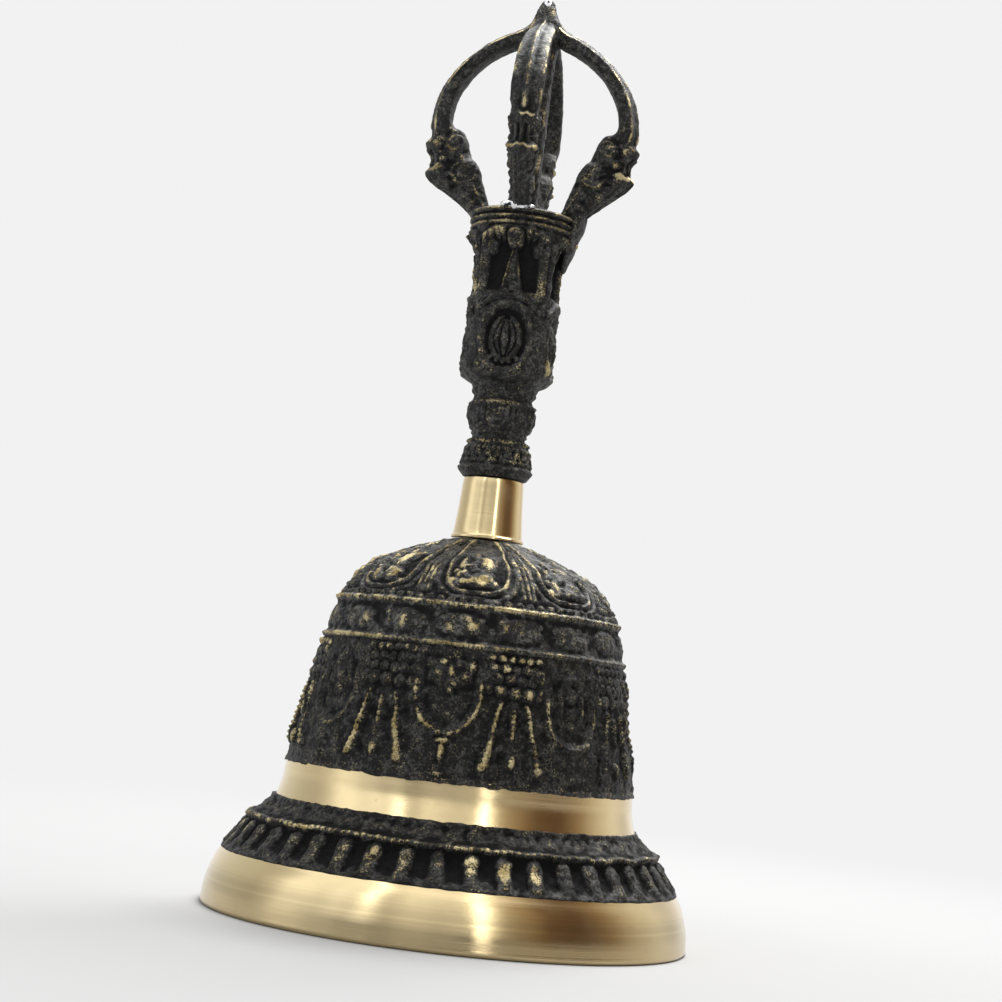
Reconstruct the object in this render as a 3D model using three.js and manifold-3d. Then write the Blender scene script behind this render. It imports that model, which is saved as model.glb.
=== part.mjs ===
// Hand bell with a half-vajra handle (a Tibetan ghanta), as an assembly of separate solids.
// Millimetres, +Z up. The origin is the centre of the rim's flat face, so the bell stands on z = 0.
// The front of the bell, where one prong and one petal of the dome sit, is -Y.

import * as THREE from 'three';
import { mergeVertices } from 'three/addons/utils/BufferGeometryUtils.js';
import Module from 'manifold-3d';

const manifoldLibrary = await Module();
manifoldLibrary.setup();

// ---- driving dimensions -------------------------------------------------------------------

const GAP = 0.3;                // space kept between two pieces that rest on each other

const RIM_RADIUS = 44.2;
const RIM_INNER_RADIUS = 40.6;
const CROWN_TOP_Z = 70;
const CROWN_UNDER_Z = 65;
const CROWN_SEAT_RADIUS = 6.6;

const ROD_RADIUS = 2.4;         // iron tie rod that holds cup, ferrule and grip together
const ROD_TOP_Z = 95;
const EYE_Z = 54;
const EYE_RING_RADIUS = 3.1;
const EYE_WIRE_RADIUS = 1.1;

const WASHER_RADIUS = 6;
const WASHER_THICKNESS = 1.5;
const NUT_CORNER_RADIUS = 4.6;
const NUT_HEIGHT = 4;

const GRIP_BASE_Z = 82;
const GRIP_TOP_Z = 131.5;
const GRIP_WAIST_HALF_WIDTH = 8.3;
const COLLAR_RADIUS = 9.9;

const PRONG_COUNT = 4;
const PRONG_WIDTH = 5.4;        // widest, across the blade
const SPIKE_HALF_WIDTH = 2.2;
const TIP_Z = 174.2;

const LINK_WIRE_RADIUS = 0.9;
const LINK_BEND_RADIUS = 2.6;
const LINK_LENGTH = 8.1;        // between the centre lines of its upper and lower bends

const LOOP_RING_RADIUS = 2.5;
const LOOP_WIRE_RADIUS = 1;
const CLAPPER_ROD_RADIUS = 1.6;
const BOB_RADIUS = 9;
const BOB_Z = 13;
const BOB_HALF_HEIGHT = 8.7;
const RIVET_RADIUS = 2.8;
const RIVET_HEIGHT = 1.2;

// ---- worked out from them -----------------------------------------------------------------

const BORE_RADIUS = ROD_RADIUS + GAP;
const WASHER_TOP_Z = CROWN_UNDER_Z - GAP;
const NUT_TOP_Z = WASHER_TOP_Z - WASHER_THICKNESS - GAP;
const EYE_PIVOT_Z = EYE_Z - EYE_RING_RADIUS;
const LINK_TOP_Z = EYE_PIVOT_Z + EYE_WIRE_RADIUS + LINK_WIRE_RADIUS + GAP;
const LINK_PIVOT_Z = LINK_TOP_Z - LINK_LENGTH;
const LOOP_TOP_Z = LINK_PIVOT_Z + LINK_WIRE_RADIUS + LOOP_WIRE_RADIUS + GAP;
const LOOP_Z = LOOP_TOP_Z - LOOP_RING_RADIUS;

// ---- materials ----------------------------------------------------------------------------

const blackenedBrass = new THREE.MeshStandardMaterial({ color: 0x3a332b, roughness: 0.62, metalness: 0.8 });
const polishedBrass = new THREE.MeshStandardMaterial({ color: 0xd9c08a, roughness: 0.25, metalness: 1 });
const plainIron = new THREE.MeshStandardMaterial({ color: 0x55524e, roughness: 0.5, metalness: 0.9 });

// ---- helpers ------------------------------------------------------------------------------

const at = (radius, z) => new THREE.Vector2(radius, z);

// A smooth run through a few points of a profile, without its last point.
function run(steps, ...points) {
  return new THREE.SplineCurve(points).getPoints(steps).slice(0, steps);
}

function toSolid(geometry) {
  const positions = geometry.clone();
  positions.deleteAttribute('normal');
  positions.deleteAttribute('uv');
  const merged = mergeVertices(positions, 1e-4);
  return new manifoldLibrary.Manifold(new manifoldLibrary.Mesh({
    numProp: 3,
    vertProperties: new Float32Array(merged.attributes.position.array),
    triVerts: new Uint32Array(merged.index.array),
  }));
}

function toGeometry(solid) {
  const mesh = solid.getMesh();
  const geometry = new THREE.BufferGeometry();
  geometry.setAttribute('position', new THREE.BufferAttribute(mesh.vertProperties, 3));
  geometry.setIndex(new THREE.BufferAttribute(mesh.triVerts, 1));
  geometry.computeVertexNormals();
  return geometry;
}

// Turns a profile of (radius, z) points about the Z axis. A hollow piece's profile closes on itself.
function turned(profile, segments) {
  return new THREE.LatheGeometry(profile, segments).rotateX(Math.PI / 2);
}

function closed(profile) {
  return [...profile, profile[0].clone()];
}

function cylinder(radius, lowZ, highZ, segments) {
  const geometry = new THREE.CylinderGeometry(radius, radius, highZ - lowZ, segments);
  return geometry.rotateX(Math.PI / 2).translate(0, 0, (lowZ + highZ) / 2);
}

// Skins a stack of rings, each with the same number of [x, y, z] points, and caps both ends.
function lofted(rings) {
  const count = rings[0].length;
  const points = rings.flat();
  const faces = [];
  for (let ring = 0; ring < rings.length - 1; ring++) {
    for (let i = 0; i < count; i++) {
      const a = ring * count + i;
      const b = ring * count + (i + 1) % count;
      faces.push(a, b, b + count);
      faces.push(a, b + count, a + count);
    }
  }
  for (const [ring, turn] of [[rings[0], -1], [rings[rings.length - 1], 1]]) {
    const centre = points.length;
    const start = turn < 0 ? 0 : (rings.length - 1) * count;
    points.push([0, 1, 2].map((axis) => ring.reduce((sum, point) => sum + point[axis], 0) / count));
    for (let i = 0; i < count; i++) {
      const here = start + i;
      const next = start + (i + 1) % count;
      faces.push(centre, turn < 0 ? next : here, turn < 0 ? here : next);
    }
  }
  const geometry = new THREE.BufferGeometry();
  geometry.setAttribute('position', new THREE.Float32BufferAttribute(points.flat(), 3));
  geometry.setIndex(faces);
  geometry.computeVertexNormals();
  return geometry;
}

function named(name, geometry, material) {
  const mesh = new THREE.Mesh(geometry, material);
  mesh.name = name;
  return mesh;
}

// ---- cup ----------------------------------------------------------------------------------

function cupOutside() {
  return [
    at(RIM_INNER_RADIUS, 0),
    at(RIM_RADIUS - 0.4, 0),
    ...run(5, at(RIM_RADIUS, 0.5), at(43.9, 4), at(42.6, 8), at(41.4, 10.2)),
    at(41.2, 10.5),                                   // foot of the fluted cone
    at(37.4, 15.9),
    at(37.6, 16.5),                                   // cord moulding
    at(36.9, 17.2),
    at(34.9, 18.5),
    at(33.6, 20.1),                                   // lower edge of the turned band
    ...run(3, at(33.2, 20.6), at(32.3, 22.6), at(32, 26.4)),
    ...run(5, at(32.3, 26.8), at(31.1, 33.5), at(29.5, 42), at(28.1, 49)),
    at(28.4, 49.7),                                   // lower ring of the shoulder band
    at(28.2, 50.6),
    at(27.5, 51),
    at(26.3, 56.1),
    at(26.7, 56.7),                                   // upper ring of the shoulder band
    at(26.3, 57.5),
    ...run(8, at(25.3, 58), at(23.7, 60.7), at(20.5, 63.9), at(16.8, 66), at(12, 68.2), at(7.4, 69.8)),
    at(CROWN_SEAT_RADIUS, CROWN_TOP_Z),
    at(BORE_RADIUS + GAP, CROWN_TOP_Z),
  ];
}

function cupInside() {
  return [
    at(BORE_RADIUS + GAP, CROWN_UNDER_Z),
    at(8, CROWN_UNDER_Z),
    ...run(11, at(8.6, 65), at(15, 63.6), at(19.8, 60.6), at(22.6, 56), at(24.7, 51), at(28, 34), at(29.4, 25)),
    ...run(5, at(29.4, 24), at(30.6, 20.5), at(33, 17.3), at(36.6, 12.5)),
    ...run(3, at(37.2, 11.4), at(39.4, 6.5), at(RIM_INNER_RADIUS, 0)),
  ];
}

function bellCup() {
  return named('bell_cup', turned(closed([...cupOutside(), ...cupInside()]), 56), blackenedBrass);
}

// ---- ferrule and grip ---------------------------------------------------------------------

function neckFerrule() {
  const profile = closed([
    at(BORE_RADIUS + GAP, CROWN_TOP_Z + GAP),
    at(6.8, CROWN_TOP_Z + GAP),
    at(6.7, 70.9),
    at(6.2, 71.4),
    at(5.6, GRIP_BASE_Z - GAP),
    at(BORE_RADIUS + GAP, GRIP_BASE_Z - GAP),
  ]);
  return named('neck_ferrule', turned(profile, 32), polishedBrass);
}

// Half-width of the grip by height, with how square it is there: 2 is round, 3 is a soft square.
function gripSections() {
  const waist = GRIP_WAIST_HALF_WIDTH;
  return [
    [GRIP_BASE_Z, 5, 2], [82.8, 6.3, 2], [84.6, 6.7, 2], [86.5, 6.3, 2], [88.2, 6.2, 2],
    [89, 5, 2], [90.4, 5, 2], [91.8, 6, 2], [93.8, 6.4, 2], [95.8, 6.1, 2], [97.2, 5.5, 2],
    [98.8, 5.8, 2], [100, 7.7, 2.4], [102.4, waist + 0.2, 2.8], [106, waist, 3], [113, waist - 0.1, 3],
    [120, waist, 2.8], [125, 9.1, 2.4], [128.2, 9.6, 2], [128.6, COLLAR_RADIUS, 2], [129.3, COLLAR_RADIUS, 2],
    [129.7, 9.6, 2], [130.1, COLLAR_RADIUS, 2], [131.1, COLLAR_RADIUS, 2], [GRIP_TOP_Z, 9.6, 2],
  ];
}

function gripRing([z, halfWidth, squareness], segments) {
  const ring = [];
  for (let i = 0; i < segments; i++) {
    const angle = (2 * Math.PI * i) / segments;
    const across = Math.abs(Math.cos(angle)) ** squareness + Math.abs(Math.sin(angle)) ** squareness;
    const radius = halfWidth / across ** (1 / squareness);
    ring.push([radius * Math.cos(angle), radius * Math.sin(angle), z]);
  }
  return ring;
}

function handleGrip() {
  const body = toSolid(lofted(gripSections().map((section) => gripRing(section, 40))));
  const bore = toSolid(cylinder(BORE_RADIUS, GRIP_BASE_Z - 1, ROD_TOP_Z + GAP, 24));
  return named('handle_grip', toGeometry(body.subtract(bore)), blackenedBrass);
}

// ---- prongs and centre spike --------------------------------------------------------------

// Each section of a prong: outer and inner edge as [radius, z], and its width across the blade.
function prongSections() {
  const foot = GRIP_TOP_Z + GAP;
  return [
    [[10.6, foot], [6.4, foot], 4.2],
    [[12.4, 133.3], [7.1, 134], 4.2],
    [[15.2, 135.6], [8, 136.6], 4.4],
    [[18, 137.8], [9, 139.6], 4.6],
    [[19.3, 139.6], [10, 142], 5.4],
    [[18.4, 141.8], [11.4, 143.9], 4.8],
    [[20, 144.2], [12.2, 145.9], 5.4],
    [[19.9, 146.2], [13.8, 148.1], 5.2],
    [[19.5, 148.4], [15.6, 149.4], PRONG_WIDTH],
    [[19.3, 151.2], [15.8, 151.4], PRONG_WIDTH],
    [[18.6, 154.3], [15.2, 153.8], 5.2],
    [[17, 157.6], [14.2, 156.2], 5],
    [[14.4, 161.1], [12.2, 159.2], 4.6],
    [[10.6, 164.5], [9.2, 162], 4.2],
    [[6.8, 166.8], [6, 163.8], 3.8],
    [[3.4, 168], [3.4, 164.9], 3.2],
  ];
}

// The outer face is a low roof with a ridge along its middle, the inner face has bevelled edges.
function prongRing([outer, inner, width]) {
  const half = width / 2;
  const between = (share) => [
    outer[0] + (inner[0] - outer[0]) * share,
    outer[1] + (inner[1] - outer[1]) * share,
  ];
  const outline = [[0, 0], [0.25, half], [0.85, half], [1, half * 0.6], [1, -half * 0.6], [0.85, -half], [0.25, -half]];
  return outline.map(([share, across]) => {
    const [radius, z] = between(share);
    return [radius, across, z];
  });
}

function prong(name, turns) {
  const geometry = lofted(prongSections().map(prongRing));
  return named(name, geometry.rotateZ((2 * Math.PI * turns) / PRONG_COUNT), blackenedBrass);
}

function spikeRing([z, half]) {
  const flat = half * 0.7;
  return [
    [half, -flat, z], [half, flat, z], [flat, half, z], [-flat, half, z],
    [-half, flat, z], [-half, -flat, z], [-flat, -half, z], [flat, -half, z],
  ];
}

function centreSpike() {
  const side = SPIKE_HALF_WIDTH;
  const rings = [
    [GRIP_TOP_Z + GAP, side], [162, side], [165, 2.7], [168.2, 2.9], [170.4, 2.4], [172.4, 1.6], [TIP_Z, 0.8],
  ];
  return named('centre_spike', lofted(rings.map(spikeRing)), blackenedBrass);
}

// ---- tie rod, washer and nut --------------------------------------------------------------

// A wire ring that stands in the XZ plane, centred on the axis at height z.
function wireRing(ringRadius, wireRadius, z) {
  return new THREE.TorusGeometry(ringRadius, wireRadius, 10, 28).rotateX(Math.PI / 2).translate(0, 0, z);
}

function tieRod() {
  const shankFoot = EYE_Z + EYE_RING_RADIUS - EYE_WIRE_RADIUS / 2;
  const shank = toSolid(cylinder(ROD_RADIUS, shankFoot, ROD_TOP_Z, 20));
  const eye = toSolid(wireRing(EYE_RING_RADIUS, EYE_WIRE_RADIUS, EYE_Z));
  return named('tie_rod', toGeometry(shank.add(eye)), plainIron);
}

function crownWasher() {
  const lowZ = WASHER_TOP_Z - WASHER_THICKNESS;
  const profile = closed([
    at(BORE_RADIUS, lowZ), at(WASHER_RADIUS, lowZ), at(WASHER_RADIUS, WASHER_TOP_Z), at(BORE_RADIUS, WASHER_TOP_Z),
  ]);
  return named('crown_washer', turned(profile, 28), plainIron);
}

function crownNut() {
  const lowZ = NUT_TOP_Z - NUT_HEIGHT;
  const hexagon = toSolid(cylinder(NUT_CORNER_RADIUS, lowZ, NUT_TOP_Z, 6));
  const bore = toSolid(cylinder(BORE_RADIUS, lowZ - 1, NUT_TOP_Z + 1, 20));
  return named('crown_nut', toGeometry(hexagon.subtract(bore)), plainIron);
}

// ---- clapper ------------------------------------------------------------------------------

// A long link of round wire, standing in the YZ plane, with a half-round bend at each end.
function clapperLink() {
  const upperBendZ = LINK_TOP_Z - LINK_BEND_RADIUS;
  const lowerBendZ = LINK_PIVOT_Z + LINK_BEND_RADIUS;
  const rings = 24;
  const sides = 10;
  const points = [];
  const faces = [];
  for (let ring = 0; ring < rings; ring++) {
    const angle = (2 * Math.PI * (ring + 0.5)) / rings;
    const bendZ = angle < Math.PI ? upperBendZ : lowerBendZ;
    for (let side = 0; side < sides; side++) {
      const around = (2 * Math.PI * side) / sides;
      const reach = LINK_BEND_RADIUS + LINK_WIRE_RADIUS * Math.cos(around);
      points.push(LINK_WIRE_RADIUS * Math.sin(around), reach * Math.cos(angle), bendZ + reach * Math.sin(angle));
      const here = ring * sides + side;
      const beside = ring * sides + (side + 1) % sides;
      const ahead = ((ring + 1) % rings) * sides;
      faces.push(here, ahead + side, ahead + (side + 1) % sides);
      faces.push(here, ahead + (side + 1) % sides, beside);
    }
  }
  const geometry = new THREE.BufferGeometry();
  geometry.setAttribute('position', new THREE.Float32BufferAttribute(points, 3));
  geometry.setIndex(faces);
  geometry.computeVertexNormals();
  return named('clapper_link', geometry, plainIron);
}

function clapperRod() {
  const bobFootZ = BOB_Z - BOB_HALF_HEIGHT;
  const rivetTopZ = bobFootZ - GAP;
  const shankTopZ = LOOP_Z - LOOP_RING_RADIUS + LOOP_WIRE_RADIUS / 2;
  const loop = toSolid(wireRing(LOOP_RING_RADIUS, LOOP_WIRE_RADIUS, LOOP_Z));
  const shank = toSolid(cylinder(CLAPPER_ROD_RADIUS, rivetTopZ - RIVET_HEIGHT / 2, shankTopZ, 16));
  const rivet = toSolid(cylinder(RIVET_RADIUS, rivetTopZ - RIVET_HEIGHT, rivetTopZ, 16));
  return named('clapper_rod', toGeometry(loop.add(shank).add(rivet)), plainIron);
}

function clapperBob() {
  const boreRadius = CLAPPER_ROD_RADIUS + GAP;
  const lowZ = BOB_Z - BOB_HALF_HEIGHT;
  const shoulderZ = BOB_Z + BOB_HALF_HEIGHT;
  const profile = closed([
    at(boreRadius, lowZ),
    ...run(8, at(3.2, lowZ), at(7.4, BOB_Z - 5.2), at(BOB_RADIUS, BOB_Z), at(7, BOB_Z + 5.4), at(3.4, shoulderZ)),
    at(3.2, shoulderZ + 0.4),
    at(3.2, shoulderZ + 2.2),
    at(boreRadius, shoulderZ + 2.2),
  ]);
  return named('clapper_bob', turned(profile, 32), polishedBrass);
}

// ---- the assembly -------------------------------------------------------------------------

const bell = new THREE.Group();
bell.add(bellCup(), neckFerrule(), handleGrip());
bell.add(tieRod(), crownWasher(), crownNut());
['prong_right', 'prong_back', 'prong_left', 'prong_front'].forEach((name, turns) => bell.add(prong(name, turns)));
bell.add(centreSpike());
bell.add(clapperLink(), clapperRod(), clapperBob());

export default bell;
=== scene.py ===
"""A cast and turned brass hand bell (a Tibetan ghanta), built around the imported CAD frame.

Lengths here are millimetres until a mesh is written, where MM turns them into metres. Azimuths are
degrees round +Z, from the front (-Y) towards +X. A height field in these two measures carries the
relief that is cast on the cup and the grip.
"""

import math

import bpy
import numpy as np
from mathutils import Matrix, Vector


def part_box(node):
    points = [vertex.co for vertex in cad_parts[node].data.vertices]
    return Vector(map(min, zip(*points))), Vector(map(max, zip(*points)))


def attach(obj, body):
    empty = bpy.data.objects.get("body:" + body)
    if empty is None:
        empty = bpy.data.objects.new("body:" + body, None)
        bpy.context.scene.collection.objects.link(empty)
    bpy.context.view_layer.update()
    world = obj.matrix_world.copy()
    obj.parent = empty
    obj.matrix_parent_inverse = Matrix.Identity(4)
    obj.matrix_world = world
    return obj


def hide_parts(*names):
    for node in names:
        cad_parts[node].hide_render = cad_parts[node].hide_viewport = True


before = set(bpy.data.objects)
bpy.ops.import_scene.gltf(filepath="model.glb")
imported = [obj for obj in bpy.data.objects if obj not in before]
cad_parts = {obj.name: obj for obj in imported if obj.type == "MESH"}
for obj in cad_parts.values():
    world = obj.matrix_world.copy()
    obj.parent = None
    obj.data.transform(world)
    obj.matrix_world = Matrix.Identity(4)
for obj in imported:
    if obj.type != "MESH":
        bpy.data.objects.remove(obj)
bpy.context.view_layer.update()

MM = 0.001


def box_mm(node):
    """A CAD node's lowest and highest corner, in millimetres."""
    return tuple(np.array(corner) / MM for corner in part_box(node))


# ---- sizes read from the frame ----

RIM_RADIUS = box_mm("bell_cup")[1][0]
CROWN_Z = box_mm("bell_cup")[1][2]
FERRULE_FOOT_RADIUS = box_mm("neck_ferrule")[1][0]
FERRULE_LOW_Z = box_mm("neck_ferrule")[0][2]
FERRULE_HIGH_Z = box_mm("neck_ferrule")[1][2]
GRIP_LOW_Z = box_mm("handle_grip")[0][2]
GRIP_HIGH_Z = box_mm("handle_grip")[1][2]
TIP_Z = box_mm("centre_spike")[1][2]
ROD_LOW_Z = box_mm("tie_rod")[0][2]
LINK_LOW_Z = box_mm("clapper_link")[0][2]
LINK_HIGH_Z = box_mm("clapper_link")[1][2]
CLAPPER_LOW_Z = box_mm("clapper_rod")[0][2]
CLAPPER_HIGH_Z = box_mm("clapper_rod")[1][2]
BOB_RADIUS = box_mm("clapper_bob")[1][0]
BOB_LOW_Z = box_mm("clapper_bob")[0][2]
BOB_HIGH_Z = box_mm("clapper_bob")[1][2]

# ---- driving sizes of the relief ----

LIP_TOP_Z = 10.3            # where the turned lip meets the fluted ring
CORD_Z = 16.5               # the corded moulding over the flutes
BAND_LOW_Z = 20.2           # the turned band's lower and upper edge
BAND_HIGH_Z = 26.6
LOWER_RING_Z = 50.2         # the two rings that frame the shoulder band
UPPER_RING_Z = 57.0
UNIT_COUNT = 8              # garland units round the cup, and petals round the dome
UNIT = 360 / UNIT_COUNT
PETAL_TURN = 5.0            # how far the dome's petals sit round from the garlands below
FLUTE_COUNT = 44
FACE_COUNT = 4              # faces of the grip, and prongs
SHARP_EDGE = 40             # degrees between two faces, past which their edge isn't shaded smooth
HANDLED_AZIMUTH = 4         # where hands have rubbed the flutes bare
SHADED_AZIMUTH = 78         # painted shade: the side of the cup left darker, as if turned from the light


# ---- small number helpers ----

def smooth(x, low, high):
    t = np.clip((x - low) / (high - low), 0, 1)
    return t * t * (3 - 2 * t)


def between(x, rise, risen, fall, fallen):
    """1 from risen to fall, easing off to 0 at rise and at fallen."""
    return smooth(x, rise, risen) * (1 - smooth(x, fall, fallen))


def wrapped(azimuth, period):
    """Azimuth measured from the nearest multiple of period."""
    return (azimuth + period / 2) % period - period / 2


def arc_from(azimuth, period, radius):
    """Millimetres round the surface from the nearest multiple of period."""
    return np.radians(wrapped(azimuth, period)) * radius


def ridge(distance, width, height):
    return height * np.exp(-((distance / width) ** 2))


def knob(x, y, centre_x, centre_y, radius_x, radius_y, height):
    q = ((x - centre_x) / radius_x) ** 2 + ((y - centre_y) / radius_y) ** 2
    return height * np.sqrt(np.clip(1 - q, 0, 1))


def u_line(x, y, half, bottom, bend, power=2.0):
    """Distance from a U-shaped line with its sides 2 * half apart and a bottom that is bend high."""
    drop = np.clip((bottom + bend - y) / bend, 0, None)
    q = (np.abs(x / half) ** power + drop ** power) ** (1 / power)
    return (q - 1) * np.minimum(half, bend)


def highest(*layers):
    return np.maximum.reduce([np.broadcast_to(layer, layers[0].shape) for layer in layers])


def knobs(x, y, *rows):
    """The highest of several knobs, each a row of centre x and y, radius x and y, and height."""
    return highest(*[knob(x, y, *row) for row in rows])


def squared(azimuth, half, power):
    """Radius of a section that is half wide each way: round at power 2, and squarer above it."""
    cosine, sine = np.abs(np.cos(np.radians(azimuth))), np.abs(np.sin(np.radians(azimuth)))
    return half / (cosine**power + sine**power) ** (1 / power)


def all_round(count):
    """count azimuths at equal spacing."""
    return np.arange(count) * 360 / count


def tangents(line):
    """Unit directions along a line of points."""
    ahead = np.gradient(line, axis=0)
    return ahead / np.linalg.norm(ahead, axis=1, keepdims=True)


def through(points, count):
    """count points evenly spread along a Catmull-Rom curve through the given ones."""
    p = np.asarray(points, float)
    ends = np.vstack([2 * p[0] - p[1], p, 2 * p[-1] - p[-2]])
    t = np.linspace(0, 1, 24, endpoint=False)[:, None]
    dense = [
        0.5 * (2 * b + (c - a) * t + (2 * a - 5 * b + 4 * c - d) * t**2 + (3 * b - a - 3 * c + d) * t**3)
        for a, b, c, d in zip(ends, ends[1:], ends[2:], ends[3:])
    ]
    return evened(np.vstack([*dense, p[-1:]]), count)


def evened(line, count):
    """The same line with count points at equal spacing."""
    run = np.concatenate([[0], np.cumsum(np.linalg.norm(np.diff(line, axis=0), axis=1))])
    at = np.linspace(0, run[-1], count)
    return np.stack([np.interp(at, run, line[:, axis]) for axis in range(line.shape[1])], axis=1)


def grain(points, cell, seed):
    """Smooth random values from -1 to 1 in space, with one lattice cell every cell millimetres."""
    scaled = np.asarray(points) / cell
    base = np.floor(scaled).astype(np.int64)
    part = scaled - base
    part = part * part * (3 - 2 * part)
    total = np.zeros(scaled.shape[:-1])
    for corner in np.ndindex(2, 2, 2):
        key = base + np.array(corner)
        mixed = key[..., 0] * 73856093 ^ key[..., 1] * 19349663 ^ key[..., 2] * 83492791 ^ seed * 2654435761
        mixed = (mixed ^ (mixed >> 13)) * 1274126177 & 0xFFFFFFFF
        mixed = (mixed ^ (mixed >> 16)) * 2246822519 & 0xFFFFFFFF
        weight = np.prod(np.where(corner, part, 1 - part), axis=-1)
        total += weight * (mixed / 0x7FFFFFFF - 1)
    return total


def cast_grain(points, seed):
    """The rough skin of a sand casting, in millimetres of height."""
    coarse = 0.09 * grain(points, 2.1, seed)
    middle = 0.14 * grain(points, 1.0, seed + 1)
    fine = 0.13 * grain(points, 0.55, seed + 2)
    return coarse + middle + fine


def blurred(field, reach):
    """A box blur, twice over, of a field that wraps round its second axis."""
    for _ in range(2):
        total = sum(np.roll(field, shift, axis=1) for shift in range(-reach, reach + 1))
        field = total / (2 * reach + 1)
        padded = np.pad(field, ((reach, reach), (0, 0)), mode="edge")
        total = sum(padded[shift:shift + len(field)] for shift in range(2 * reach + 1))
        field = total / (2 * reach + 1)
    return field


def rubbed(height, points, seed, reach=4, low=0.12, high=0.6):
    """How far the patina is worn off, up to 1 on what stands proud; below 0 down in the hollows it marks
    painted shade.
    """
    proud = height - blurred(height, reach)
    patches = 0.5 + 0.5 * grain(points, 8.0, seed) + 0.3 * grain(points, 3.0, seed + 1)
    specks = 0.14 * grain(points, 0.9, seed + 2)
    bare = smooth(proud * (0.35 + patches) + specks, low, high)
    # Painted shade: the hollows go below zero, so that they are painted darker.
    return bare - smooth(-proud, 0.05, 0.35)


def shaded_side(wear_and_shade, azimuth):
    """Less patina rubbed off round one side of the cup, so that this side is darker: painted shade of the
    side turned from the light.
    """
    # How much less is rubbed off towards the side turned from the light: painted shade.
    kept = 0.6 * smooth(np.cos(np.radians(azimuth - SHADED_AZIMUTH)), 0.55, 0.95)
    return np.where(wear_and_shade > 0, wear_and_shade * (1 - kept), wear_and_shade)


# ---- meshes ----

def polar(radius, azimuth, z):
    angle = np.radians(azimuth)
    radius, angle, z = np.broadcast_arrays(radius, angle, z)
    return np.stack([radius * np.sin(angle), -radius * np.cos(angle), z], axis=-1)


def skin(grid, wrap_rows=False):
    """Points and faces of a skin over a grid of rows, each row closed on itself.
    The rows close too with wrap_rows, and otherwise a fan of triangles caps each end."""
    rows, columns = grid.shape[:2]
    points = grid.reshape(-1, 3)
    i, j = np.meshgrid(np.arange(rows if wrap_rows else rows - 1), np.arange(columns), indexing="ij")
    up, on = (i + 1) % rows, (j + 1) % columns
    quads = np.stack([i * columns + j, i * columns + on, up * columns + on, up * columns + j], axis=-1)
    faces = quads.reshape(-1, 4).tolist()
    if not wrap_rows:
        ends = np.stack([grid[0].mean(axis=0), grid[-1].mean(axis=0)])
        points = np.vstack([points, ends])
        low, high, start = rows * columns, rows * columns + 1, (rows - 1) * columns
        for j in range(columns):
            on = (j + 1) % columns
            faces.append([low, on, j])
            faces.append([high, start + j, start + on])
    return points, faces


def shell_object(name, parts, material, nodes, wear_and_shade=None, body="bell"):
    """One Blender object from closed skins, riding on a body and standing for CAD nodes."""
    points = np.vstack([part[0] for part in parts])
    faces, start = [], 0
    for part in parts:
        faces += [[corner + start for corner in face] for face in part[1]]
        start += len(part[0])
    mesh = bpy.data.meshes.new(name)
    mesh.from_pydata((points * MM).tolist(), [], faces)
    mesh.polygons.foreach_set("use_smooth", np.ones(len(mesh.polygons), bool))
    mesh.set_sharp_from_angle(angle=math.radians(SHARP_EDGE))
    if wear_and_shade is not None:
        values = np.zeros(len(points), np.float32)
        values[:wear_and_shade.size] = wear_and_shade.ravel()
        mesh.attributes.new("wear_and_shade", "FLOAT", "POINT").data.foreach_set("value", values)
    mesh.materials.append(material)
    piece = bpy.data.objects.new(name, mesh)
    bpy.context.scene.collection.objects.link(piece)
    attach(piece, body)
    if nodes:
        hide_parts(*nodes)


def turned(profile, columns):
    """Rows of points: each (radius, z) point of the profile is carried round the axis."""
    profile = np.asarray(profile, float)
    return polar(profile[:, :1], all_round(columns)[None, :], profile[:, 1:])


def turned_ring(name, profile, columns, material, node):
    """A ring of turned brass from its closed profile, which stands for a CAD node."""
    rows = turned(profile, columns)
    shell_object(name, [skin(rows, wrap_rows=True)], material, [node])


def tube(path, radius, sides=20, closed=True):
    """Rows of a round tube along a path of points; radius may be a number or one for each point."""
    path = np.asarray(path, float)
    ahead = tangents(np.vstack([path[-1:], path, path[:1]]))[1:-1] if closed else tangents(path)
    lateral = np.linalg.svd(path - path.mean(axis=0))[2][2]
    beside = np.broadcast_to(lateral, path.shape)
    above = np.cross(beside, ahead)
    turn = np.arange(sides) * 2 * np.pi / sides
    radius = np.broadcast_to(radius, len(path))[:, None, None]
    around = np.cos(turn)[None, :, None] * beside[:, None] - np.sin(turn)[None, :, None] * above[:, None]
    return path[:, None] + radius * around


# ---- materials ----

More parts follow.
